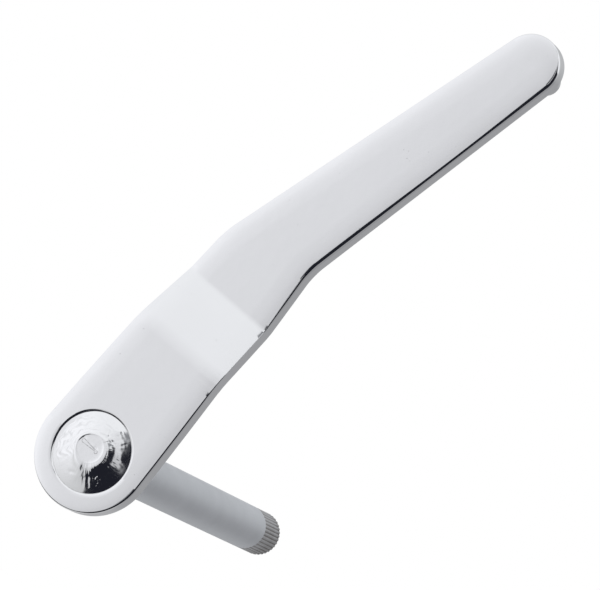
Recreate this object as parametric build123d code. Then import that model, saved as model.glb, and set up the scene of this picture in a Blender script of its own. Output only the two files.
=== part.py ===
"""Riveted crank lever for a window: a flat-bar arm and the spindle peened into its hub.

Millimetres, +Z up. The origin is on the spindle's axis, in the plane of the arm's back face,
where the spindle's shoulder seats. +Y runs along the spindle to its serrated end, so the
arm's polished face looks along -Y. +Z runs up the arm from the hub.
"""

from build123d import *
from math import acos, atan2, cos, degrees, hypot, radians, sin, tan
import os

# Arm: one length of flat bar, blanked, bent and drilled.
BAR_THICKNESS = 4.0
HUB_DIAMETER = 25.6
HUB_TAPER = 1.7  # slope at which the sides leave the hub, before they curve in
DOGLEG_HEIGHT = 54.6  # hub centre to the dogleg, up the arm
WIDTH_AT_DOGLEG = 20.2
DOGLEG_ANGLE = 15.7  # the handle leans towards +X
DOGLEG_CORNER_RADIUS = 18.0
HANDLE_LENGTH = 73.4  # dogleg to the end of the tip
HANDLE_ROOT_WIDTH = 18.2
TIP_WIDTH = 13.2

# Joggle: two bends across the bar that set the handle back, towards the spindle.
JOGGLE_START = 27.5
JOGGLE_END = 42.0
JOGGLE_OFFSET = 4.0
LOWER_BEND_RADIUS = 16.0  # inside of the bend
UPPER_BEND_RADIUS = 5.0  # inside of the bend

# Polishing rounds the front edge; the back edge is only broken.
FRONT_EDGE_RADIUS = 1.0
BACK_EDGE_RADIUS = 0.3

# Countersunk seat in the front of the hub, which the riveted head fills.
SEAT_DIAMETER = 17.8
SEAT_DEPTH = 1.5
SEAT_WALL_ANGLE = 45.0  # from the arm's face

# Square tenon that carries the turning load from the arm into the spindle.
TENON_WIDTH = 7.0
TENON_CORNER_RADIUS = 0.8
TENON_CLEARANCE = 0.03  # on each side

# Nib on the back of the handle, beside the tip's lower corner.
NIB_DIAMETER = 5.8
NIB_HEIGHT = 2.4
NIB_EDGE_RADIUS = 0.6
NIB_INSET = 0.35  # from the handle's edge
NIB_FROM_TIP = 5.9  # tip's end to the nib's centre

# Spindle: one turned piece.
SPINDLE_DIAMETER = 10.0
SPINDLE_LENGTH = 110.0  # shoulder to the far end
SERRATION_LENGTH = 11.0
TOOTH_COUNT = 36
TOOTH_DEPTH = 0.16
TOOTH_FLAT = 0.35  # width left at each tooth's top
END_CHAMFER = 0.35
CENTRE_DIAMETER = 3.2  # lathe centre in the far end
CENTRE_DEPTH = 2.4

# Peened head that holds the spindle in the arm.
HEAD_CLEARANCE = 0.03  # head to the wall of the seat
HEAD_CROWN = 1.3  # top of the head above the arm's face
HEAD_RIM_BELOW_FACE = 0.25
HEAD_FLAT_DIAMETER = 6.2
HEAD_FLAT_SLOPE = 11.0

os.makedirs("parts", exist_ok=True)

hub_radius = HUB_DIAMETER / 2
tip_radius = TIP_WIDTH / 2
lean = radians(DOGLEG_ANGLE)


def on_handle(along, across):
    """Point in the arm's plan, from the dogleg along the handle and across it to the right."""
    return Vector(
        along * sin(lean) + across * cos(lean),
        DOGLEG_HEIGHT + along * cos(lean) - across * sin(lean),
    )


def tangent_angle(along, half_width, radius):
    """Angle of the normal to a line from (half_width, along) tangent to a circle at the origin."""
    return atan2(along, half_width) - acos(radius / hypot(along, half_width))


def meet(start, towards, other_start, other_towards):
    """Point where two lines in the plan cross."""
    run, other_run = towards - start, other_towards - other_start
    gap = other_start - start
    share = (gap.X * other_run.Y - gap.Y * other_run.X) / (run.X * other_run.Y - run.Y * other_run.X)
    return start + run * share


def near(vertex, point):
    """True for the vertex of a flat sketch that lies at the point."""
    return hypot(vertex.X - point[0], vertex.Y - point[1]) < 0.01


def arm_outline():
    """Plan of the blank: round hub, taper to the dogleg, tapered handle, full-round tip."""
    taper = radians(HUB_TAPER)
    tip_centre = HANDLE_LENGTH - tip_radius
    tip_turn = tangent_angle(tip_centre, HANDLE_ROOT_WIDTH / 2, tip_radius)
    tip_along = tip_centre - tip_radius * sin(tip_turn)
    tip_across = tip_radius * cos(tip_turn)
    sides = []
    for side in (1, -1):
        hub_touch = Vector(side * hub_radius * cos(taper), hub_radius * sin(taper))
        dogleg = Vector(side * WIDTH_AT_DOGLEG / 2, DOGLEG_HEIGHT)
        root = on_handle(0, side * HANDLE_ROOT_WIDTH / 2)
        tip_touch = on_handle(tip_along, side * tip_across)
        corner = meet(hub_touch, dogleg, root, tip_touch)
        lower_edge = TangentArc(hub_touch, corner, tangent=(-side * sin(taper), cos(taper)))
        sides.append((hub_touch, lower_edge, corner, tip_touch))
    (right_hub, right_edge, right_corner, right_tip), (left_hub, left_edge, left_corner, left_tip) = sides
    blank = make_face(
        [
            ThreePointArc(left_hub, Vector(0, -hub_radius), right_hub),
            right_edge,
            Line(right_corner, right_tip),
            ThreePointArc(right_tip, on_handle(HANDLE_LENGTH, 0), left_tip),
            Line(left_tip, left_corner),
            left_edge,
        ]
    )
    corners = [(corner.X, corner.Y) for corner in (right_corner, left_corner)]
    dogleg_corners = [v for v in blank.vertices() if any(near(v, point) for point in corners)]
    return fillet(dogleg_corners, DOGLEG_CORNER_RADIUS)


def bar_profile():
    """Side view of the bent bar, from below the hub to above the tip."""
    rise = atan2(JOGGLE_OFFSET, JOGGLE_END - JOGGLE_START)
    shift = BAR_THICKNESS * tan(rise / 2)
    low, high = -HUB_DIAMETER, DOGLEG_HEIGHT + 1.5 * HANDLE_LENGTH
    front = [(-BAR_THICKNESS, low), (-BAR_THICKNESS, JOGGLE_START + shift / 2)]
    front += [(JOGGLE_OFFSET - BAR_THICKNESS, JOGGLE_END + shift / 2)]
    front += [(JOGGLE_OFFSET - BAR_THICKNESS, high)]
    back = [(JOGGLE_OFFSET, high), (JOGGLE_OFFSET, JOGGLE_END - shift / 2)]
    back += [(0, JOGGLE_START - shift / 2), (0, low)]
    profile = make_face(Polyline(*front, *back, close=True))

    def bend(sketch, point, radius):
        return fillet([v for v in sketch.vertices() if near(v, point)], radius)

    profile = bend(profile, front[1], LOWER_BEND_RADIUS + BAR_THICKNESS)
    profile = bend(profile, back[2], LOWER_BEND_RADIUS)
    profile = bend(profile, front[2], UPPER_BEND_RADIUS)
    return bend(profile, back[1], UPPER_BEND_RADIUS + BAR_THICKNESS)


def rim_edges(solid, side):
    """Edges round the front (side -1) or back (side 1) of the bar, without its bend lines."""
    faces = [face for face in solid.faces() if side * face.normal_at(face.center()).Y > 0.8]
    edges = [edge for face in faces for edge in face.edges()]
    return [edge for edge in edges if edges.count(edge) == 1]


def square_bar(width, corner_radius, start, length):
    """Square bar along +Y from the plane y = start, with rounded corners."""
    section = Plane.XZ.offset(-start) * RectangleRounded(width, width, corner_radius)
    return extrude(section, -length)


def make_arm():
    blank = extrude(Plane.XZ * arm_outline(), HANDLE_LENGTH, both=True)
    arm = blank & extrude(Plane.YZ * bar_profile(), HANDLE_LENGTH, both=True)
    arm = fillet(rim_edges(arm, -1), FRONT_EDGE_RADIUS)
    arm = fillet(rim_edges(arm, 1), BACK_EDGE_RADIUS)
    nib_across = tip_radius - NIB_INSET - NIB_DIAMETER / 2
    nib_place = on_handle(HANDLE_LENGTH - NIB_FROM_TIP, nib_across)
    nib = Plane.XZ.offset(-JOGGLE_OFFSET) * Pos(nib_place.X, nib_place.Y) * Circle(NIB_DIAMETER / 2)
    nib = extrude(nib, -NIB_HEIGHT)
    nib = fillet(nib.edges().sort_by(Axis.Y)[-1], NIB_EDGE_RADIUS)
    arm += nib
    arm -= make_seat()
    hole_width = TENON_WIDTH + 2 * TENON_CLEARANCE
    hole_corner = TENON_CORNER_RADIUS + TENON_CLEARANCE
    return arm - square_bar(hole_width, hole_corner, -2 * BAR_THICKNESS, 3 * BAR_THICKNESS)


def serration_section():
    """Straight-sided teeth whose tops lie on the shank's own diameter."""
    top, root = SPINDLE_DIAMETER / 2, SPINDLE_DIAMETER / 2 - TOOTH_DEPTH
    pitch = 360 / TOOTH_COUNT
    half_flat = degrees(TOOTH_FLAT / 2 / top)
    points = []
    for tooth in range(TOOTH_COUNT):
        for radius, angle in ((top, -half_flat), (top, half_flat), (root, pitch / 2)):
            turn = radians(tooth * pitch + angle)
            points.append((radius * cos(turn), radius * sin(turn)))
    return make_face(Polyline(*points, close=True))


def seat_radius(depth):
    """Radius of the countersunk seat at a depth below the arm's face."""
    return SEAT_DIAMETER / 2 - depth / tan(radians(SEAT_WALL_ANGLE))


def make_seat():
    """Cutter for the seat, carried out past the arm's face."""
    floor, mouth = SEAT_DEPTH - BAR_THICKNESS, -2 * BAR_THICKNESS
    corners = [(0, floor), (seat_radius(SEAT_DEPTH), floor), (seat_radius(0), -BAR_THICKNESS)]
    corners += [(seat_radius(0), mouth), (0, mouth)]
    return revolve(make_face(Polyline(*corners, close=True)), Axis.Y)


def make_head():
    """Domed head with a small flat on top, spread until it fills the seat."""
    face, floor = -BAR_THICKNESS, SEAT_DEPTH - BAR_THICKNESS
    flat, top = HEAD_FLAT_DIAMETER / 2, face - HEAD_CROWN
    rim_radius = seat_radius(HEAD_RIM_BELOW_FACE) - HEAD_CLEARANCE
    rim = face + HEAD_RIM_BELOW_FACE
    floor_radius = seat_radius(SEAT_DEPTH) - HEAD_CLEARANCE
    slope = radians(HEAD_FLAT_SLOPE)
    edges = [
        Line((0, top), (flat, top)),
        TangentArc((flat, top), (rim_radius, rim), tangent=(cos(slope), sin(slope))),
        Line((rim_radius, rim), (floor_radius, floor)),
        Line((floor_radius, floor), (0, floor)),
        Line((0, floor), (0, top)),
    ]
    return revolve(make_face(edges), Axis.Y)


def make_spindle():
    plain_length = SPINDLE_LENGTH - SERRATION_LENGTH
    spindle = extrude(Plane.XZ * Circle(SPINDLE_DIAMETER / 2), -plain_length)
    teeth = extrude(Plane.XZ.offset(-plain_length) * serration_section(), -SERRATION_LENGTH)
    reach = SPINDLE_DIAMETER / 2
    cone = make_face(
        Polyline(
            (0, plain_length),
            (reach + SERRATION_LENGTH - END_CHAMFER, plain_length),
            (reach - END_CHAMFER, SPINDLE_LENGTH),
            (0, SPINDLE_LENGTH),
            close=True,
        )
    )
    spindle += teeth & revolve(cone, Axis.Y)
    centre = make_face(
        Polyline(
            (0, SPINDLE_LENGTH),
            (CENTRE_DIAMETER / 2, SPINDLE_LENGTH),
            (0, SPINDLE_LENGTH - CENTRE_DEPTH),
            close=True,
        )
    )
    spindle -= revolve(centre, Axis.Y)
    tenon_length = BAR_THICKNESS - SEAT_DEPTH
    spindle += square_bar(TENON_WIDTH, TENON_CORNER_RADIUS, -tenon_length, tenon_length)
    return spindle + make_head()


for name, solid in (("arm", make_arm()), ("spindle", make_spindle())):
    export_step(solid, f"parts/{name}.step")
    print(name, "volume", round(solid.volume, 1), "mm3, solids", len(solid.solids()))
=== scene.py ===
import bmesh
import bpy
from math import acos, atan2, cos, exp, hypot, pi, radians, sin, sqrt, tan
from mathutils import Euler, Matrix, Vector, noise


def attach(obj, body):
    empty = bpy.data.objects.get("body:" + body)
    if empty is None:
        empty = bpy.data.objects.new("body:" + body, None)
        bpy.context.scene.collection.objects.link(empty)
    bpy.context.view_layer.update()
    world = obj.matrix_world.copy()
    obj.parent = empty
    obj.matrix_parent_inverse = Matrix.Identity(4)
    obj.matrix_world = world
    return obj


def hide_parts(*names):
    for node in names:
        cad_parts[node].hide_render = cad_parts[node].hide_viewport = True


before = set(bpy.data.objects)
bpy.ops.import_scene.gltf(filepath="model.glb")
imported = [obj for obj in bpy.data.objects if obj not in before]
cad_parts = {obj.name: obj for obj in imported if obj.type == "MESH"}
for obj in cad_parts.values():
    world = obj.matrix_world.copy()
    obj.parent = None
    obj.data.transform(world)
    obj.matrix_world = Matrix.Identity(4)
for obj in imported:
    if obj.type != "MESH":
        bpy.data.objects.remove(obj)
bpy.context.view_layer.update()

# ---- Camera: a long lens a little above the lever's middle and to its right. It is rolled, so that the
# lever lies across the picture.
aim_point = Vector((0.01176, -0.00005, 0.05251))
view_azimuth, view_elevation, view_roll = radians(20.66), radians(2.34), radians(39.67)
view_distance = 0.941
focal_length, sensor_width = 274.2, 36.0  # mm
turn = Euler((pi / 2 - view_elevation, 0, view_azimuth)).to_matrix() @ Matrix.Rotation(view_roll, 3, "Z")
camera_data = bpy.data.cameras.new("camera")
camera_data.lens, camera_data.sensor_width = focal_length, sensor_width
camera = bpy.data.objects.new("camera", camera_data)
camera.location = aim_point + turn @ Vector((0, 0, view_distance))
camera.rotation_euler = turn.to_euler()
bpy.context.scene.collection.objects.link(camera)
bpy.context.scene.camera = camera
bpy.context.scene.view_settings.view_transform = "Standard"


# ---- Studio: a tent of white cloth, which bright metal reflects. At the front right it is open to a dark
# room, where a pale card and a grey flag stand, and it is greyer behind. Seen directly it is white paper.
def add(tree, kind, feeds=None, **settings):
    """Adds a shader node; feeds gives its sockets' values or the outputs that they are linked to."""
    node = tree.nodes.new("ShaderNode" + kind)
    for name, value in settings.items():
        setattr(node, name, value)
    for socket, value in (feeds or {}).items():
        if isinstance(value, bpy.types.NodeSocket):
            tree.links.new(value, node.inputs[socket])
        else:
            node.inputs[socket].default_value = value
    return node


def math(tree, operation, first, second=0.0):
    """The result of a Math node."""
    return add(tree, "Math", {0: first, 1: second}, operation=operation).outputs[0]


def span(tree, value, low, high, to_low=0.0, to_high=1.0):
    """The value rescaled so that low becomes to_low and high becomes to_high, and kept between them."""
    feeds = {"Value": value, "From Min": low, "From Max": high, "To Min": to_low, "To Max": to_high}
    return add(tree, "MapRange", feeds).outputs["Result"]


def blend(tree, share, first, second):
    """The first colour where the share is 0, the second where it is 1, and a mixture between."""
    return add(tree, "Mix", {0: share, 6: first, 7: second}, data_type="RGBA").outputs[2]


def ramp(tree, factor, stops):
    """A colour ramp whose stops are (position, colour), in order of position."""
    node = add(tree, "ValToRGB", {"Fac": factor})
    elements = node.color_ramp.elements
    while len(elements) < len(stops):
        elements.new(0.5)
    for element, (position, _) in zip(elements, stops):
        element.position = position
    for element, (_, colour) in zip(elements, stops):  # once all are in their places
        element.color = (*colour, 1)
    return node.outputs["Color"]


def way_round(bearing):
    """A bearing, in degrees from the front towards the right, as a share of the way round from the back."""
    return (180 + bearing) / 360


def stripe(tree, value, low, high, softness):
    """1 where the value lies between low and high, 0 outside, with soft edges."""
    rising = span(tree, value, low - softness, low + softness)
    return math(tree, "MULTIPLY", rising, span(tree, value, high + softness, high - softness))


tent = bpy.data.worlds.new("cloth_tent")
bpy.context.scene.world = tent
tent.use_nodes = True
tree = tent.node_tree
tree.nodes.clear()
side = add(tree, "SeparateXYZ", {0: add(tree, "TexCoord").outputs["Generated"]}).outputs
forward = math(tree, "MULTIPLY", side["Y"], -1.0)
round_from_back = span(tree, math(tree, "ARCTAN2", side["X"], forward), -pi, pi)
cloth_tint = (0.985, 0.99, 1.02)
brightness_round_tent = (  # bearing in degrees from the front towards the right, and how bright the cloth is
    (-180, 0.40), (-160, 0.44), (-110, 0.92), (-64, 0.97), (-58, 0.78), (-52, 0.97), (-45, 0.98),
    (-33, 0.94), (-21, 0.745), (-12, 0.62), (0, 0.60), (20, 0.55), (62, 0.38), (118, 0.27),
    (150, 0.33), (165, 0.35), (180, 0.40),
)
stops = []
for bearing, brightness in brightness_round_tent:
    stops.append((way_round(bearing), [tint * brightness for tint in cloth_tint]))
cloth = ramp(tree, round_from_back, stops)
roof_behind, roof_ahead, ground = (0.55, 0.56, 0.57, 1), (0.87, 0.88, 0.90, 1), (0.57, 0.575, 0.58, 1)
roof = blend(tree, span(tree, side["Y"], 0.4, -0.2), roof_behind, roof_ahead)
cloth = blend(tree, span(tree, side["Z"], 0.08, 0.50), cloth, roof)
cloth = blend(tree, span(tree, side["Z"], -0.30, -0.75), cloth, ground)


def patch(across, left, right, low, high, softness):
    """1 on the part of the tent between two bearings, read from across, and two heights."""
    upright = stripe(tree, across, way_round(left), way_round(right), 0.003)
    return math(tree, "MULTIPLY", upright, stripe(tree, side["Z"], low, high, softness))


card_slant = 0.0955  # share of the way round that the card's edges move for each unit of height
flag_grey, dark_room = (0.22, 0.225, 0.24, 1), (0.013, 0.014, 0.020, 1)
opening = patch(round_from_back, -6, 80, -0.71, 0.42, 0.02)
slanted = math(tree, "ADD", math(tree, "MULTIPLY", side["Z"], card_slant), round_from_back)
card = patch(slanted, 3, 12.5, -0.03, 0.43, 0.01)
opening = add(tree, "Math", {0: opening, 1: card}, operation="SUBTRACT", use_clamp=True).outputs[0]
flag = patch(round_from_back, -9, -1, 0.40, 0.62, 0.01)
cloth = blend(tree, flag, cloth, flag_grey)
front = stripe(tree, side["Y"], -2, 0, 0.1)
underneath = math(tree, "MULTIPLY", stripe(tree, side["Z"], -0.95, -0.72, 0.02), front)
cloth = blend(tree, math(tree, "MAXIMUM", opening, underneath), cloth, dark_room)
reflected = add(tree, "Background", {"Color": cloth}).outputs[0]
paper = add(tree, "Background", {"Color": (1, 1, 1, 1)}).outputs[0]
seen = add(tree, "LightPath").outputs["Is Camera Ray"]
chosen = add(tree, "MixShader", {"Fac": seen, 1: reflected, 2: paper}).outputs[0]
add(tree, "OutputWorld", {"Surface": chosen})


# ---- Floor: a disc of white card well below the part, which glows a little, so that it stays white. One
# wide soft light hangs above it, and neither the disc nor the light shows in the metal.
disc_radius, disc_place = 1.3, (0, 0, -0.20)
bpy.ops.mesh.primitive_circle_add(vertices=128, radius=disc_radius, fill_type="NGON", location=disc_place)
floor = bpy.context.object
floor.name = "floor"
floor.visible_glossy = False
white_card = bpy.data.materials.new("white card")
white_card.use_nodes = True
tree = white_card.node_tree
shader = tree.nodes["Principled BSDF"]
shader.inputs["Roughness"].default_value = 0.9
shader.inputs["Emission Strength"].default_value = 0.55
shader.inputs["Emission Color"].default_value = (1, 1, 1, 1)
fibres = add(tree, "TexNoise", {"Vector": add(tree, "TexCoord").outputs["Object"], "Scale": 900, "Detail": 4})
card_colour = ramp(tree, fibres.outputs["Fac"], ((0.3, (0.80, 0.80, 0.795)), (0.7, (0.84, 0.84, 0.835))))
tree.links.new(card_colour, shader.inputs["Base Color"])
floor.data.materials.append(white_card)
softbox_place, softbox_turn = (-0.35, -0.45, 0.9), (radians(26), 0, radians(-38))
softbox_width, softbox_watts = 0.8, 6
bpy.ops.object.light_add(type="AREA", location=softbox_place, rotation=softbox_turn)
softbox = bpy.context.object
softbox.data.shape, softbox.data.size, softbox.data.energy = "DISK", softbox_width, softbox_watts
softbox.visible_glossy = False
softbox.visible_camera = False


# ---- Arm: one length of 4 mm flat steel bar, cut round at the hub and at the tip and joggled back by its own
# thickness. Polishing rounds its front edges before it is chrome plated. The spindle is riveted into its hub.
hub_radius, tip_radius = 0.0128, 0.0066
bar_thickness = 0.0040
dogleg_height, half_width_at_dogleg = 0.0546, 0.0101
lean = radians(15.7)
handle_length, half_root_width = 0.0734, 0.0091
hub_taper = radians(1.7)
dogleg_corner_radius = 0.018
joggle_start, joggle_end, joggle_offset = 0.0275, 0.0420, 0.0040
joggle_angle = atan2(joggle_offset, joggle_end - joggle_start)
lower_bend_radius, upper_bend_radius = 0.016, 0.005
crown_steps = (  # width of each ring of the crowned face, from the rim inwards, and how far it rises
    (0.0012, 0.00011), (0.0009, 0.00005), (0.0010, 0.000035), (0.0012, 0.00002), (0.0008, 0.00001),
)
crown = sum(lift for width, lift in crown_steps)
touching = 1e-5  # vertices nearer than this are at one place


def on_handle(along, across):
    """Place in the arm's plan, from the dogleg along the handle and across it to the right."""
    x = along * sin(lean) + across * cos(lean)
    return Vector((x, 0, dogleg_height + along * cos(lean) - across * sin(lean)))


def select_only(kind, wanted):
    """In edit mode, selects the vertices, edges or faces for which wanted() holds, and nothing else."""
    bpy.ops.mesh.select_mode(type=kind)
    bpy.ops.mesh.select_all(action="DESELECT")
    mesh = bmesh.from_edit_mesh(bpy.context.object.data)
    for item in {"VERT": mesh.verts, "EDGE": mesh.edges, "FACE": mesh.faces}[kind]:
        if wanted(item):
            item.select_set(True)
    mesh.select_flush_mode()
    bmesh.update_edit_mesh(bpy.context.object.data)


def extrude_vertex_through(start, places):
    """Draws an edge from the vertex at start through the places, one extrusion at a time."""
    select_only("VERT", lambda v: (v.co - start).length < touching)
    here = start
    for place in places:
        bpy.ops.mesh.extrude_vertices_move(TRANSFORM_OT_translate={"value": place - here})
        here = place


def meet(start, towards, other_start, other_towards):
    """Place where two lines in the plan cross."""
    run, other_run, gap = towards - start, other_towards - other_start, other_start - start
    slant = run.x * other_run.z - run.z * other_run.x
    return start + run * (gap.x * other_run.z - gap.z * other_run.x) / slant


# The outline: the hub's circle and the tip's, each opened where the sides leave it.
bpy.ops.object.select_all(action="DESELECT")
stood_up = (pi / 2, 0, 0)
bpy.ops.mesh.primitive_circle_add(vertices=200, radius=hub_radius, rotation=stood_up)
arm = bpy.context.object
arm.name = "lever_arm"
bpy.ops.object.transform_apply(location=True, rotation=True, scale=True)
bpy.ops.object.mode_set(mode="EDIT")
select_only("VERT", lambda v: v.co.z > hub_radius * sin(hub_taper) + 1e-6)
bpy.ops.mesh.delete(type="VERT")
tip_centre = on_handle(handle_length - tip_radius, 0)
bpy.ops.mesh.primitive_circle_add(vertices=96, radius=tip_radius, location=tip_centre, rotation=stood_up)
tip_turn = atan2(handle_length - tip_radius, half_root_width)
tip_turn -= acos(tip_radius / hypot(handle_length - tip_radius, half_root_width))
handle_run = Vector((sin(lean), 0, cos(lean)))
tip_from = -tip_radius * sin(tip_turn)
select_only("VERT", lambda v: v.co.z > dogleg_height and (v.co - tip_centre) @ handle_run < tip_from - 1e-6)
bpy.ops.mesh.delete(type="VERT")

# Each side runs from the hub to the dogleg in a slight curve, and straight from there to the tip.
corners, side_steps = [], 8
across_handle = Vector((cos(lean), 0, -sin(lean)))
for side in (1, -1):
    mesh = bmesh.from_edit_mesh(arm.data)
    loose_ends = [v.co.copy() for v in mesh.verts if len(v.link_edges) == 1]
    hub_end = next(place for place in loose_ends if place.z < hub_radius and place.x * side > 0)
    tip_ends = [place for place in loose_ends if place.z > dogleg_height]
    tip_end = max(tip_ends, key=lambda place: side * (place - tip_centre).dot(across_handle))
    touch = Vector((side * hub_radius * cos(hub_taper), 0, hub_radius * sin(hub_taper)))
    dogleg = Vector((side * half_width_at_dogleg, 0, dogleg_height))
    root = on_handle(0, side * half_root_width)
    tip_touch = on_handle(handle_length - tip_radius + tip_from, side * tip_radius * cos(tip_turn))
    corner = meet(touch, dogleg, root, tip_touch)
    along = Vector((-side * sin(hub_taper), 0, cos(hub_taper)))
    inward = Vector((-side * cos(hub_taper), 0, -sin(hub_taper)))
    chord = corner - touch
    swing = atan2(chord.dot(inward), chord.dot(along))
    side_radius = chord.length / 2 / sin(swing)
    side_places = []
    for step in range(1, side_steps + 1):
        angle = 2 * swing * step / side_steps
        side_places.append(touch + side_radius * (sin(angle) * along + (1 - cos(angle)) * inward))
    extrude_vertex_through(hub_end, [touch, *side_places])
    ends = (corner, tip_end)
    select_only("VERT", lambda v: len(v.link_edges) == 1 and any((v.co - e).length < touching for e in ends))
    bpy.ops.mesh.edge_face_add()
    corners.append(corner)

bpy.ops.mesh.select_all(action="SELECT")
bpy.ops.mesh.remove_doubles(threshold=1e-6)
bpy.ops.mesh.edge_face_add()
for corner in corners:
    select_only("VERT", lambda v: (v.co - corner).length < touching)
    bpy.ops.mesh.bevel(affect="VERTICES", offset=dogleg_corner_radius * tan(lean / 2), segments=8)

# The blank is cut across at the bend lines, thickened, and slid back in small steps to form the joggle.
half_shift = bar_thickness * tan(joggle_angle / 2) / 2


def set_back(z, shift, lower_radius, upper_radius):
    """How far one face of the bent bar lies behind the hub's, at a height up the arm."""
    back = 0
    for line, radius, sense in ((joggle_start, lower_radius, 1), (joggle_end, upper_radius, -1)):
        past = z - (line + shift) + radius * tan(joggle_angle / 2)
        curved = min(max(past, 0), radius * sin(joggle_angle))
        back += sense * (radius - sqrt(radius**2 - curved**2) + (max(past, 0) - curved) * tan(joggle_angle))
    return back


def front_set_back(z):
    """How far the front face lies behind the hub's front face."""
    return set_back(z, half_shift, lower_bend_radius + bar_thickness, upper_bend_radius)


def rear_set_back(z):
    """How far the back face lies behind the hub's back face."""
    return set_back(z, -half_shift, lower_bend_radius, upper_bend_radius + bar_thickness)


lower_cut_pitch, upper_cut_pitch, handle_cut_pitch = 0.0005, 0.0004, 0.004
cut_heights = [joggle_start + (step - 7) * lower_cut_pitch for step in range(14)]
cut_heights += [joggle_end + (step - 5) * upper_cut_pitch for step in range(10)]
rim_cuts = [0.0190, 0.0215, 0.0450, 0.0465, 0.0480, 0.0500]  # where the rounding of the rim changes
rim_cuts += [0.058 + handle_cut_pitch * step for step in range(16)]
for height in cut_heights + rim_cuts:
    bpy.ops.mesh.select_all(action="SELECT")
    bpy.ops.mesh.bisect(plane_co=(0, 0, height), plane_no=(0, 0, 1))
bpy.ops.mesh.select_all(action="SELECT")
bpy.ops.transform.translate(value=(0, crown - bar_thickness, 0))
bpy.ops.mesh.extrude_region_move(TRANSFORM_OT_translate={"value": (0, bar_thickness - crown, 0)})
bpy.ops.mesh.select_all(action="SELECT")
bpy.ops.mesh.normals_make_consistent(inside=False)
bend_levels = {round(v.co.z, 6) for v in bmesh.from_edit_mesh(arm.data).verts}
bend_levels = [z for z in sorted(bend_levels) if cut_heights[0] - touching < z < cut_heights[-1] + touching]
for behind, set_back_of in ((True, rear_set_back), (False, front_set_back)):
    for level in bend_levels:
        select_only("VERT", lambda v: abs(v.co.z - level) < 2e-6 and (v.co.y > -1e-6) == behind)
        bpy.ops.transform.translate(value=(0, set_back_of(level), 0))
select_only("VERT", lambda v: v.co.z > cut_heights[-1] + touching)
bpy.ops.transform.translate(value=(0, joggle_offset, 0))

# The polished face is slightly crowned: each inset stands a little prouder than the last.
select_only("FACE", lambda f: f.normal.y < -0.9)
for width, lift in crown_steps:
    bpy.ops.mesh.inset(thickness=width, depth=lift)

bpy.ops.object.mode_set(mode="OBJECT")

# Polishing rounds the front rim, most along the right of the handle and at the tip's lower corner, and least
# at the joggle. The rear rim is only broken.
rim_radii = (  # height up the arm and the rim's radius there
    (0.0, 0.00040), (0.022, 0.00036), (0.030, 0.00014), (0.042, 0.00014), (0.050, 0.00050),
    (0.055, 0.00060), (0.061, 0.00095), (0.071, 0.00105), (0.078, 0.00062), (0.086, 0.00048),
    (0.092, 0.00034), (0.104, 0.00036), (0.113, 0.00105), (0.119, 0.00085), (1.0, 0.00085),
)
largest_rim_radius, rear_rim_radius = 0.0011, 0.0003
polished_side = Vector((0.80, 0, -0.60))
least_polished = 0.3  # share of the rounding on the side that faces away
weights = arm.data.attributes.new("bevel_weight_edge", "FLOAT", "EDGE")
sides_of = {}
for face in arm.data.polygons:
    for key in face.edge_keys:
        sides_of.setdefault(key, []).append(face.normal)
for edge in arm.data.edges:
    front, wall = sorted(sides_of[edge.key], key=lambda normal: normal.y)
    height = max(sum(arm.data.vertices[v].co.z for v in edge.vertices) / 2, 0)
    if front.y < -0.9 and abs(wall.y) < 0.3:
        for (start, radius), (end, next_radius) in zip(rim_radii, rim_radii[1:]):
            if start <= height < end:
                radius += (next_radius - radius) * (height - start) / (end - start)
                towards_polish = min(max(wall.dot(polished_side) + 0.25, 0), 1)
                kept = least_polished + (1 - least_polished) * towards_polish
                weights.data[edge.index].value = radius * kept / largest_rim_radius
    elif wall.y > 0.9 and abs(front.y) < 0.3:
        weights.data[edge.index].value = rear_rim_radius / largest_rim_radius


def apply_modifier(piece, kind, **settings):
    """Adds a modifier to the piece with these settings and applies it."""
    bpy.ops.object.select_all(action="DESELECT")
    piece.select_set(True)
    bpy.context.view_layer.objects.active = piece
    modifier = piece.modifiers.new(kind.lower(), kind)
    for name, value in settings.items():
        setattr(modifier, name, value)
    bpy.ops.object.modifier_apply(modifier=modifier.name)


def cut_or_join(piece, tool, operation):
    """Cuts the tool out of the piece, or joins the two, and removes the tool."""
    apply_modifier(piece, "BOOLEAN", object=tool, operation=operation, solver="EXACT")
    bpy.data.objects.remove(tool)


rounding = {"width": largest_rim_radius, "limit_method": "WEIGHT", "segments": 7, "use_clamp_overlap": False}
apply_modifier(arm, "BEVEL", **rounding)


def spin_round(profile, turns):
    """A closed solid: the profile, from the spindle's axis out and back to it, spun about that axis."""
    bpy.ops.object.select_all(action="DESELECT")
    bpy.ops.mesh.primitive_plane_add(size=0.001)
    bpy.ops.object.mode_set(mode="EDIT")
    select_only("VERT", lambda v: True)
    bpy.ops.mesh.merge(type="CENTER")
    bpy.ops.transform.translate(value=profile[0])
    extrude_vertex_through(profile[0], profile[1:])
    bpy.ops.mesh.select_all(action="SELECT")
    bpy.ops.mesh.spin(steps=turns, angle=2 * pi, center=(0, 0, 0), axis=(0, 1, 0))
    bpy.ops.mesh.select_all(action="SELECT")
    bpy.ops.mesh.remove_doubles(threshold=1e-7)
    bpy.ops.mesh.normals_make_consistent(inside=False)
    bpy.ops.object.mode_set(mode="OBJECT")
    return bpy.context.object


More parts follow.
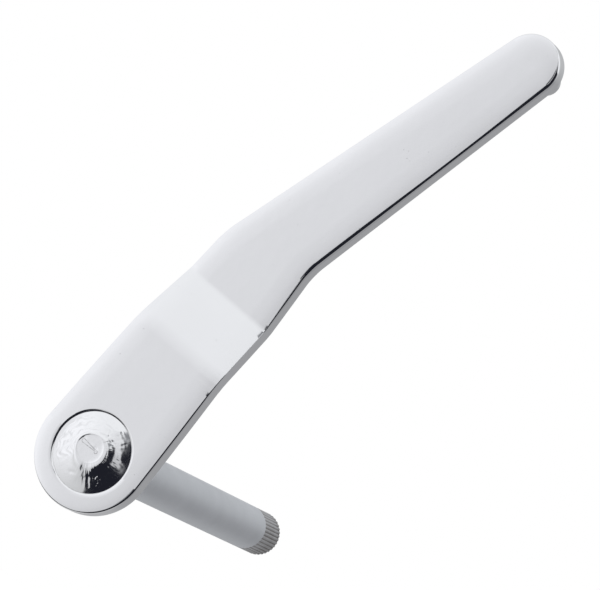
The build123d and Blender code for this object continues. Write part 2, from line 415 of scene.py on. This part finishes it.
# Countersunk seat for the riveted head. Its mouth is polished round into the face.
seat_radius, seat_depth = 0.0089, 0.0015
lip_radius, lip_steps = 0.00085, 7
wall_angle, lip_end_angle = radians(45), radians(9)
seat_floor = seat_depth - bar_thickness
lip_run = lip_radius * tan(wall_angle / 2)
lip_foot = Vector((seat_radius - lip_run * cos(wall_angle), lip_run * sin(wall_angle) - bar_thickness, 0))
seat_profile = [Vector((0, seat_floor, 0)), Vector((seat_radius - seat_depth, seat_floor, 0)), lip_foot]
for step in range(1, lip_steps + 1):
    angle = wall_angle + (lip_end_angle - wall_angle) * step / lip_steps
    x = lip_foot.x + lip_radius * (sin(wall_angle) - sin(angle))
    y = lip_foot.y - lip_radius * (cos(angle) - cos(wall_angle))
    seat_profile.append(Vector((x, y, 0)))
past_lip, clear_of_face = 0.002, -0.006
seat_profile.append(seat_profile[-1] + Vector((past_lip, -past_lip * tan(lip_end_angle), 0)))
seat_profile += [Vector((seat_profile[-1].x, clear_of_face, 0)), Vector((0, clear_of_face, 0))]
cut_or_join(arm, spin_round(seat_profile, 192), "DIFFERENCE")


def round_corners(offset):
    """Rounds the edges of a square bar that run along Y, which is the object in hand."""
    bpy.ops.object.mode_set(mode="EDIT")
    select_only("EDGE", lambda e: abs(e.verts[0].co.y - e.verts[1].co.y) > 0.001)
    bpy.ops.mesh.bevel(affect="EDGES", offset=offset, segments=5)
    bpy.ops.object.mode_set(mode="OBJECT")


# Squared hole through the hub, for the spindle's tenon.
hole_width, hole_corner = 0.00706, 0.00083
bpy.ops.mesh.primitive_cube_add(size=hole_width, location=(0, -hole_width / 2 + 0.001, 0))
square_tool = bpy.context.object
round_corners(hole_corner)
bpy.ops.object.transform_apply(location=True, rotation=True, scale=True)
cut_or_join(arm, square_tool, "DIFFERENCE")

# Nib on the back of the handle, beside the tip's lower corner.
nib_radius, nib_height, nib_edge, nib_root = 0.0029, 0.0024, 0.0006, 0.001  # the root is inside the arm
nib_from_tip, nib_from_side = 0.0059, 0.00035
nib_place = on_handle(handle_length - nib_from_tip, tip_radius - nib_from_side - nib_radius)
bpy.ops.mesh.primitive_cylinder_add(
    vertices=64,
    radius=nib_radius,
    depth=nib_height + nib_root,
    location=nib_place + Vector((0, joggle_offset + nib_height - (nib_height + nib_root) / 2, 0)),
    rotation=stood_up,
)
nib = bpy.context.object
bpy.ops.object.transform_apply(location=True, rotation=True, scale=True)
bpy.ops.object.mode_set(mode="EDIT")
select_only("FACE", lambda f: f.normal.y > 0.9)
bpy.ops.mesh.bevel(affect="EDGES", offset=nib_edge, segments=6)
bpy.ops.object.mode_set(mode="OBJECT")
cut_or_join(arm, nib, "UNION")


def group_with(name, inputs, outputs):
    """An empty node group with these inputs, as (name, kind, value), and outputs, as (name, kind)."""
    group = bpy.data.node_groups.new(name, "ShaderNodeTree")
    for label, kind, value in inputs:
        socket = group.interface.new_socket(label, in_out="INPUT", socket_type="NodeSocket" + kind)
        socket.default_value = value
    for label, kind in outputs:
        group.interface.new_socket(label, in_out="OUTPUT", socket_type="NodeSocket" + kind)
    return group, group.nodes.new("NodeGroupInput").outputs, group.nodes.new("NodeGroupOutput").inputs


# Polished plate: faint orange peel, fine wiping scratches, a few pits in the plating, and a thin haze.
plate, given, result = group_with(
    "polished plate",
    (("Peel", "Float", 1.0), ("Scratches", "Float", 1.0), ("Pits", "Float", 1.0), ("Haze", "Float", 1.0)),
    (("Tone", "Float"), ("Roughness", "Float"), ("Height", "Float")),
)
here = add(plate, "TexCoord").outputs["Object"]
peel = add(plate, "TexNoise", {"Vector": here, "Scale": 420, "Detail": 2}).outputs["Fac"]
broad = add(plate, "TexNoise", {"Vector": here, "Scale": 45, "Detail": 3}).outputs["Fac"]
haze = add(plate, "TexNoise", {"Vector": here, "Scale": 160, "Detail": 5, "Roughness": 0.65}).outputs["Fac"]
brushed = []
for lean_of_strokes, stroke_scale in ((0.35, 5200), (-0.9, 6800)):
    feeds = {"Vector": here, "Rotation": (0, lean_of_strokes, 0), "Scale": (1, 0.3, 0.025)}
    strokes = add(plate, "Mapping", feeds).outputs["Vector"]
    lines = add(plate, "TexNoise", {"Vector": strokes, "Scale": stroke_scale, "Detail": 1}).outputs["Fac"]
    brushed.append(span(plate, lines, 0.66, 0.80))
scratched = math(plate, "MULTIPLY", span(plate, broad, 0.42, 0.62), given["Scratches"])
scratches = math(plate, "MULTIPLY", math(plate, "MAXIMUM", *brushed), scratched)
cells = add(plate, "TexVoronoi", {"Vector": here, "Scale": 620}).outputs["Distance"]
pits = math(plate, "MULTIPLY", span(plate, cells, 0.10, 0.03), span(plate, haze, 0.55, 0.62))
pits = math(plate, "MULTIPLY", pits, given["Pits"])
height = math(plate, "MULTIPLY", peel, given["Peel"])
height = math(plate, "SUBTRACT", height, math(plate, "MULTIPLY", scratches, 0.02))
plate.links.new(math(plate, "SUBTRACT", height, math(plate, "MULTIPLY", pits, 0.25)), result["Height"])
roughness = math(plate, "MULTIPLY", span(plate, haze, 0.35, 0.70, 0.0, 0.07), given["Haze"])
roughness = math(plate, "ADD", roughness, math(plate, "MULTIPLY", scratches, 0.10))
plate.links.new(math(plate, "ADD", roughness, math(plate, "MULTIPLY", pits, 0.25)), result["Roughness"])
tone = math(plate, "SUBTRACT", span(plate, broad, 0.3, 0.7, 0.975, 1.0), math(plate, "MULTIPLY", pits, 0.35))
plate.links.new(tone, result["Tone"])

# Grime and painted shade that lie in corners: the group covers the metal's colour and takes away its shine.
# It paints real grime on the head's scar, and painted shade in the seat's corner and in the serrations.
dirt_and_shade, given, result = group_with(
    "packed dirt",
    (
        ("Metal", "Color", (1, 1, 1, 1)), ("Metal Roughness", "Float", 0.1), ("Grime And Shade", "Float", 0.0),
        ("Grime And Shade Colour", "Color", (0.2, 0.2, 0.2, 1)), ("Grime And Shade Roughness", "Float", 0.3),
    ),
    (("Colour", "Color"), ("Roughness", "Float")),
)
dirt_and_shade.links.new(blend(dirt_and_shade, given["Grime And Shade"], given["Metal"], given["Grime And Shade Colour"]), result["Colour"])
roughened = math(dirt_and_shade, "MULTIPLY", given["Grime And Shade"], given["Grime And Shade Roughness"])
dirt_and_shade.links.new(math(dirt_and_shade, "ADD", given["Metal Roughness"], roughened), result["Roughness"])


def lay_dirt_and_shade(tree, shader, where_dirt_and_shade, colour, dirt_and_shade_roughness):
    """Puts the group of grime and painted shade between a metal and its shader."""
    colour_in, roughness_in = shader.inputs["Base Color"], shader.inputs["Roughness"]
    feeds = {"Metal": colour_in.links[0].from_socket, "Metal Roughness": roughness_in.links[0].from_socket}
    feeds |= {"Grime And Shade": where_dirt_and_shade, "Grime And Shade Colour": (*colour, 1), "Grime And Shade Roughness": dirt_and_shade_roughness}
    dirtied_and_shaded = add(tree, "Group", feeds, node_tree=dirt_and_shade).outputs
    tree.links.new(dirtied_and_shaded["Colour"], colour_in)
    tree.links.new(dirtied_and_shaded["Roughness"], roughness_in)


def distance_to(tree, where, x=0.0, z=0.0):
    """Distance in X and Z from a centre, or else from the spindle's axis, to the place shaded."""
    dx, dz = math(tree, "SUBTRACT", where["X"], x), math(tree, "SUBTRACT", where["Z"], z)
    squares = math(tree, "ADD", math(tree, "MULTIPLY", dx, dx), math(tree, "MULTIPLY", dz, dz))
    return math(tree, "SQRT", squares)


def plated_metal(name, colour, least_roughness, bump_depth, **amounts):
    """A bright plated metal whose surface comes from the polished plate group."""
    metal = bpy.data.materials.new(name)
    metal.use_nodes = True
    tree = metal.node_tree
    shader = tree.nodes["Principled BSDF"]
    shader.inputs["Metallic"].default_value = 1
    finish = add(tree, "Group", amounts, node_tree=plate).outputs
    tree.links.new(blend(tree, finish["Tone"], (0, 0, 0, 1), (*colour, 1)), shader.inputs["Base Color"])
    tree.links.new(math(tree, "ADD", finish["Roughness"], least_roughness), shader.inputs["Roughness"])
    bump = add(tree, "Bump", {"Height": finish["Height"], "Distance": bump_depth}).outputs["Normal"]
    tree.links.new(bump, shader.inputs["Normal"])
    return metal, tree, shader


def finish_piece(piece, name, *materials):
    """Smooths the piece's shading, gives it its materials, puts it under the root body and hides the CAD node
    it stands for.
    """
    bpy.ops.object.select_all(action="DESELECT")
    piece.select_set(True)
    bpy.context.view_layer.objects.active = piece
    bpy.ops.object.shade_smooth_by_angle(angle=radians(35))
    apply_modifier(piece, "WEIGHTED_NORMAL", keep_sharp=True, weight=60)
    piece.data.materials.clear()
    for material in materials:
        piece.data.materials.append(material)
    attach(piece, "root")
    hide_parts(name)


# Bright chrome, with painted shade darkening the corner of the seat, in the crevice beside the head's rim.
chrome, tree, shader = plated_metal("bright chrome", (0.945, 0.95, 0.96), 0.045, 0.000012, Peel=1.0, Haze=1.0)
here = add(tree, "TexCoord").outputs["Object"]
where = add(tree, "SeparateXYZ", {0: here}).outputs
# Painted shade: the seat's wall next to the head's rim is darkened and made duller all round, broken up by
# noise.
in_seat = span(tree, distance_to(tree, where), seat_radius, seat_radius - 0.0004)
in_seat = math(tree, "MULTIPLY", in_seat, span(tree, where["Y"], -0.0042, -0.0034))
in_seat = math(tree, "MULTIPLY", in_seat, span(tree, where["Y"], -0.0021, -0.0024))
patchiness = add(tree, "TexNoise", {"Vector": here, "Scale": 1500, "Detail": 4}).outputs["Fac"]
painted_seat_shade = math(tree, "MULTIPLY", in_seat, span(tree, patchiness, 0.35, 0.65, 0.3, 1.0))
lay_dirt_and_shade(tree, shader, painted_seat_shade, (0.22, 0.20, 0.18), 0.4)
finish_piece(arm, "arm", chrome)


# ---- Spindle: one turned steel piece. Its square tenon goes through the arm, and the end of the tenon is
# peened over into the countersunk seat as a domed head. The far end has 36 rolled serrations.
shank_radius, spindle_length = 0.005, 0.110
serration_length, tooth_count, tooth_depth = 0.011, 36, 0.00016
steps_per_tooth = 6
run_out, end_chamfer = 0.00025, 0.00035
centre_radius, centre_depth = 0.0016, 0.0024
plain_length = spindle_length - serration_length

bpy.ops.object.select_all(action="DESELECT")
bpy.ops.mesh.primitive_cylinder_add(
    vertices=tooth_count * steps_per_tooth,
    radius=shank_radius,
    depth=plain_length,
    location=(0, plain_length / 2, 0),
    rotation=(-pi / 2, 0, 0),
)
spindle = bpy.context.object
spindle.name = "spindle_bar"
bpy.ops.object.transform_apply(location=True, rotation=True, scale=True)
bpy.ops.object.mode_set(mode="EDIT")


def tooth_step(v):
    """Which step round its tooth a vertex of the spindle is on; 0 is the top's middle, 3 the root."""
    return round(atan2(v.co.x, v.co.z) / (2 * pi) * tooth_count * steps_per_tooth) % steps_per_tooth


select_only("FACE", lambda f: f.normal.y > 0.9)
bpy.ops.mesh.extrude_region_move(TRANSFORM_OT_translate={"value": (0, run_out, 0)})
for steps, depth in (((2, 4), tooth_depth / 2), ((3,), tooth_depth)):
    select_only("VERT", lambda v: v.co.y > plain_length + 1e-6 and tooth_step(v) in steps)
    share = 1 - depth / shank_radius
    bpy.ops.transform.resize(value=(share, 1, share), center_override=(0, plain_length, 0))
select_only("FACE", lambda f: f.normal.y > 0.9)
full_teeth = serration_length - run_out - end_chamfer
bpy.ops.mesh.extrude_region_move(TRANSFORM_OT_translate={"value": (0, full_teeth, 0)})
bpy.ops.mesh.extrude_region_move(TRANSFORM_OT_translate={"value": (0, end_chamfer, 0)})
share = 1 - end_chamfer / shank_radius
bpy.ops.transform.resize(value=(share, 1, share), center_override=(0, spindle_length, 0))

# A lathe centre in the end face.
bpy.ops.mesh.extrude_region_move()
share = centre_radius / shank_radius
bpy.ops.transform.resize(value=(share, 1, share), center_override=(0, spindle_length, 0))
bpy.ops.mesh.extrude_region_move(TRANSFORM_OT_translate={"value": (0, -centre_depth, 0)})
bpy.ops.mesh.merge(type="CENTER")
bpy.ops.object.mode_set(mode="OBJECT")

# The head's profile is spun about the spindle's axis: floor, wall, dome and the small flat on top.
head_clearance = 0.00003
head_rise = 0.0012
floor_y = seat_depth - bar_thickness
floor_radius = seat_radius - seat_depth - head_clearance
rim_below_face = 0.00025
rim = Vector((seat_radius - rim_below_face - head_clearance, rim_below_face - bar_thickness, 0))
flat_radius, head_top, flat_slope = 0.0031, -bar_thickness - head_rise, radians(11)
flat_edge = Vector((flat_radius, head_top, 0))
dome_chord = rim - flat_edge
dome_swing = atan2(dome_chord.y, dome_chord.x) - flat_slope
dome_radius = dome_chord.length / 2 / sin(dome_swing)
head_profile = [Vector((floor_radius, floor_y, 0)), rim]
dome_steps, flat_steps, head_turns = 64, 34, 300
for step in range(1, dome_steps + 1):
    angle = 2 * dome_swing * (1 - step / dome_steps)
    out, down = sin(angle), 1 - cos(angle)
    x = flat_edge.x + dome_radius * (out * cos(flat_slope) - down * sin(flat_slope))
    y = flat_edge.y + dome_radius * (out * sin(flat_slope) + down * cos(flat_slope))
    head_profile.append(Vector((x, y, 0)))
for step in range(1, flat_steps + 1):
    head_profile.append(Vector((flat_radius * (1 - step / flat_steps), head_top, 0)))
head = spin_round([Vector((0, floor_y, 0)), *head_profile], head_turns)


# Peening leaves the head uneven: radial wrinkles, ripples on one side, a pecked place, a raised lip round
# the flat, and dents and bumps.
def rise(value, low, high):
    """0 below low, 1 above high, with a smooth step between."""
    share = min(max((value - low) / (high - low), 0), 1)
    return share * share * (3 - 2 * share)


def dent(x, z, centre, half_length, half_width, angle):
    """1 in the middle of an oval dent, falling smoothly to 0; the angle is from +X towards +Z."""
    dx, dz = x - centre[0], z - centre[1]
    along = (dx * cos(angle) + dz * sin(angle)) / half_length
    across = (dz * cos(angle) - dx * sin(angle)) / half_width
    return exp(-(along**2) - across**2)


dents = (  # centre in mm, half length, half width, angle in degrees, height in mm
    ((5.9, 3.1), 1.2, 0.9, 120, 0.05),
    ((2.0, 7.0), 1.3, 0.9, 150, 0.10),
    ((1.3, -5.4), 1.5, 1.0, 10, 0.10),
    ((0.9, 5.2), 1.1, 0.35, 138, -0.06),
    ((2.7, 4.1), 0.5, 0.4, 30, -0.05),
    ((-0.3, -5.9), 0.9, 0.35, 20, -0.05),
    ((-2.5, 0.85), 0.6, 0.42, 175, -0.050),
    ((-0.9, 0.80), 1.5, 0.24, 178, -0.050),
    ((1.1, 0.65), 0.42, 0.42, 0, -0.050),
    ((1.1, 0.65), 0.18, 0.18, 0, 0.030),
    ((-3.6, 2.4), 0.5, 0.9, 30, -0.030),
)


def hammer_marks(x, z):
    """Height in mm that peening adds to the smooth dome at a place on it, in mm from the axis."""
    radius, turn = hypot(x, z), atan2(z, x)
    on_dome = rise(radius, 2.7, 3.6) * (1 - rise(radius, 7.3, 8.1))
    wrinkled_side = 0.35 + 0.65 * rise(cos(turn + 0.25), -0.2, 0.5)
    wrinkles = noise.noise(Vector((9 * cos(turn), 9 * sin(turn), 0.25 * radius)))
    fine_wrinkles = noise.noise(Vector((26 * cos(turn), 26 * sin(turn), 0.5 * radius)))
    height = on_dome * wrinkled_side * (0.009 * wrinkles + 0.012 * fine_wrinkles)
    rippled_side = rise(-cos(turn + 0.35), 0.0, 0.6)
    rippled_side *= rise(radius, 3.4, 4.2) * (1 - rise(radius, 7.2, 8.0))
    wander = noise.noise(Vector((0.5 * x, 0.5 * z, 4.0)))
    height += 0.026 * rippled_side * sin(2 * pi * radius / 1.35 + 7 * wander) * (0.6 + 0.8 * abs(wander))
    height += 0.006 * noise.noise(Vector((1.6 * x, 1.6 * z, 9.0))) * on_dome
    pecked = dent(x, z, (5.6, -3.6), 1.5, 1.2, radians(-30))
    height += 0.045 * pecked * noise.noise(Vector((3.4 * x, 3.4 * z, 2.0)))
    far_side = rise(cos(turn + 0.45), -0.5, 0.6)
    lip_height = 0.085 + 0.12 * far_side
    lip_height *= 0.5 + 0.5 * rise(noise.noise(Vector((1.3 * cos(turn), 1.3 * sin(turn), 7.0))), -0.35, 0.15)
    from_lip = radius - (3.3 + 0.65 * far_side + 0.25 * noise.noise(Vector((cos(turn), sin(turn), 3.0))))
    lip_width = 0.24 + (0.55 if from_lip < 0 else 0.80) * far_side
    height += lip_height * exp(-((from_lip / lip_width) ** 2))
    height += 0.004 * noise.noise(Vector((1.1 * x, 1.1 * z, 5.0)))
    for centre, half_length, half_width, angle, dent_height in dents:
        height += dent_height * dent(x, z, centre, half_length, half_width, radians(angle))
    return height * (1 - rise(radius, 7.6, 8.15))


flat_shift = Vector((-0.0005, 0, 0.0006))  # the flat is off the head's centre
for vertex in head.data.vertices:
    place = vertex.co
    radius = hypot(place.x, place.z)
    if place.y < rim.y - 1e-6:
        place.y -= 0.001 * hammer_marks(1000 * place.x, 1000 * place.z)  # in mm
        place += flat_shift * (1 - (radius / rim.x) ** 2) ** 2

# The square tenon joins the head to the shoulder, so that the three are one piece.
tenon_width, tenon_corner, tenon_root = 0.0070, 0.0008, 0.002  # the root is inside the shank
bpy.ops.mesh.primitive_cube_add(size=tenon_width, location=(0, -tenon_width / 2 + tenon_root, 0))
tenon = bpy.context.object
shortening = (bar_thickness + 0.001) / tenon_width  # it ends inside the head
bpy.ops.transform.resize(value=(1, shortening, 1), center_override=(0, tenon_root, 0))
bpy.ops.object.transform_apply(location=True, rotation=True, scale=True)
round_corners(tenon_corner)
cut_or_join(spindle, tenon, "UNION")
cut_or_join(spindle, head, "UNION")


# Satin steel, with faint turned rings along the shank. The serrations are bare steel; painted shade darkens
# their roots and their far end, over random smudges of grime.
steel = bpy.data.materials.new("satin steel")
steel.use_nodes = True
tree = steel.node_tree
shader = tree.nodes["Principled BSDF"]
shader.inputs["Metallic"].default_value = 1
here = add(tree, "TexCoord").outputs["Object"]
where = add(tree, "SeparateXYZ", {0: here}).outputs
from_axis = distance_to(tree, where)
cloudy = add(tree, "TexNoise", {"Vector": here, "Scale": 130, "Detail": 5, "Roughness": 0.6}).outputs["Fac"]

# Turned rings round the shank, drawn lines along it, and the rings of facing on its end.
rings = add(tree, "Mapping", {"Vector": here, "Scale": (0.02, 1, 0.02)}).outputs["Vector"]
coarse_feeds = {"Vector": rings, "Scale": 1400, "Detail": 3, "Roughness": 0.7}
coarse_rings = add(tree, "TexNoise", coarse_feeds).outputs["Fac"]
fine_rings = add(tree, "TexNoise", {"Vector": rings, "Scale": 7000, "Detail": 1}).outputs["Fac"]
drawn = add(tree, "Mapping", {"Vector": here, "Scale": (1, 0.02, 1)}).outputs["Vector"]
drawn_lines = add(tree, "TexNoise", {"Vector": drawn, "Scale": 2600, "Detail": 2}).outputs["Fac"]
facing_pitch = 0.00022
end_face = span(tree, where["Y"], spindle_length - end_chamfer, spindle_length - 0.00003)
facing = math(tree, "SINE", math(tree, "MULTIPLY", from_axis, 2 * pi / facing_pitch))
facing = math(tree, "MULTIPLY", facing, math(tree, "MULTIPLY", end_face, 0.35))
height = math(tree, "ADD", coarse_rings, math(tree, "MULTIPLY", fine_rings, 0.25))
height = math(tree, "ADD", height, math(tree, "MULTIPLY", drawn_lines, 0.3))
height = math(tree, "ADD", height, facing)
bump = add(tree, "Bump", {"Height": height, "Distance": 0.000012}).outputs["Normal"]
tree.links.new(bump, shader.inputs["Normal"])

serrated = span(tree, where["Y"], plain_length, plain_length + run_out)
satin = ramp(tree, cloudy, ((0.30, (0.78, 0.80, 0.83)), (0.70, (0.84, 0.86, 0.89))))
bare = ramp(tree, cloudy, ((0.30, (0.60, 0.60, 0.61)), (0.70, (0.70, 0.705, 0.715))))
tree.links.new(blend(tree, serrated, satin, bare), shader.inputs["Base Color"])
clouded, ringed = span(tree, cloudy, 0.3, 0.7, 0.44, 0.50), span(tree, coarse_rings, 0.3, 0.7, 0.0, 0.06)
tree.links.new(math(tree, "ADD", clouded, ringed), shader.inputs["Roughness"])
# Painted shade: the tooth roots are darkened, and the serrations darken towards the far end. Random smudges
# of grime are added on top.
shaded_roots = span(tree, from_axis, shank_radius - 0.00003, shank_radius - tooth_depth)
shaded_roots = math(tree, "MULTIPLY", shaded_roots, math(tree, "SUBTRACT", 1.0, end_face))
painted_end_shade = span(tree, where["Y"], spindle_length - 0.004, spindle_length, 0.0, 0.4)
end_shade_and_smudges = math(tree, "MAXIMUM", painted_end_shade, span(tree, cloudy, 0.45, 0.7, 0.0, 0.35))
grime_and_shade = math(tree, "MULTIPLY", serrated, math(tree, "ADD", math(tree, "MULTIPLY", shaded_roots, 0.6), end_shade_and_smudges))
lay_dirt_and_shade(tree, shader, grime_and_shade, (0.20, 0.175, 0.16), 0.25)

# The head was plated with the arm, after peening. The scar on its flat, a drop shape with a small ring at
# its end, holds a little grime along its outline.
peened, tree, shader = plated_metal(
    "peened chrome", (0.955, 0.96, 0.97), 0.055, 0.000010, Peel=0.6, Scratches=0.4, Pits=2.0, Haze=1.2
)
here = add(tree, "TexCoord").outputs["Object"]
where = add(tree, "SeparateXYZ", {0: here}).outputs
wide_end, narrow_end, drop_height = -0.0025, 0.0009, 0.00085
ring_x, ring_z, ring_radius = 0.00115, 0.00070, 0.00034
nearest = span(tree, where["X"], wide_end, narrow_end, wide_end, narrow_end)
drop_width = span(tree, where["X"], wide_end, narrow_end, 0.00040, 0.00012)
off_drop = math(tree, "SUBTRACT", distance_to(tree, where, nearest, drop_height), drop_width)
off_ring = math(tree, "SUBTRACT", distance_to(tree, where, ring_x, ring_z), ring_radius)
outlines = [span(tree, math(tree, "ABSOLUTE", off), 0.00014, 0.00003) for off in (off_drop, off_ring)]
scar = math(tree, "MAXIMUM", *outlines)
patchiness = add(tree, "TexNoise", {"Vector": here, "Scale": 1900, "Detail": 3}).outputs["Fac"]
scar = math(tree, "MULTIPLY", scar, span(tree, patchiness, 0.38, 0.62, 0.10, 0.62))
scar = math(tree, "MULTIPLY", scar, span(tree, where["Y"], -0.0048, -0.0050))
lay_dirt_and_shade(tree, shader, scar, (0.16, 0.15, 0.15), 0.3)
finish_piece(spindle, "spindle", steel, peened)
for face in spindle.data.polygons:
    in_seat = face.center.y < floor_y + touching and hypot(face.center.x, face.center.z) > tenon_width / 2
    if in_seat or face.center.y < -bar_thickness:
        face.material_index = 1
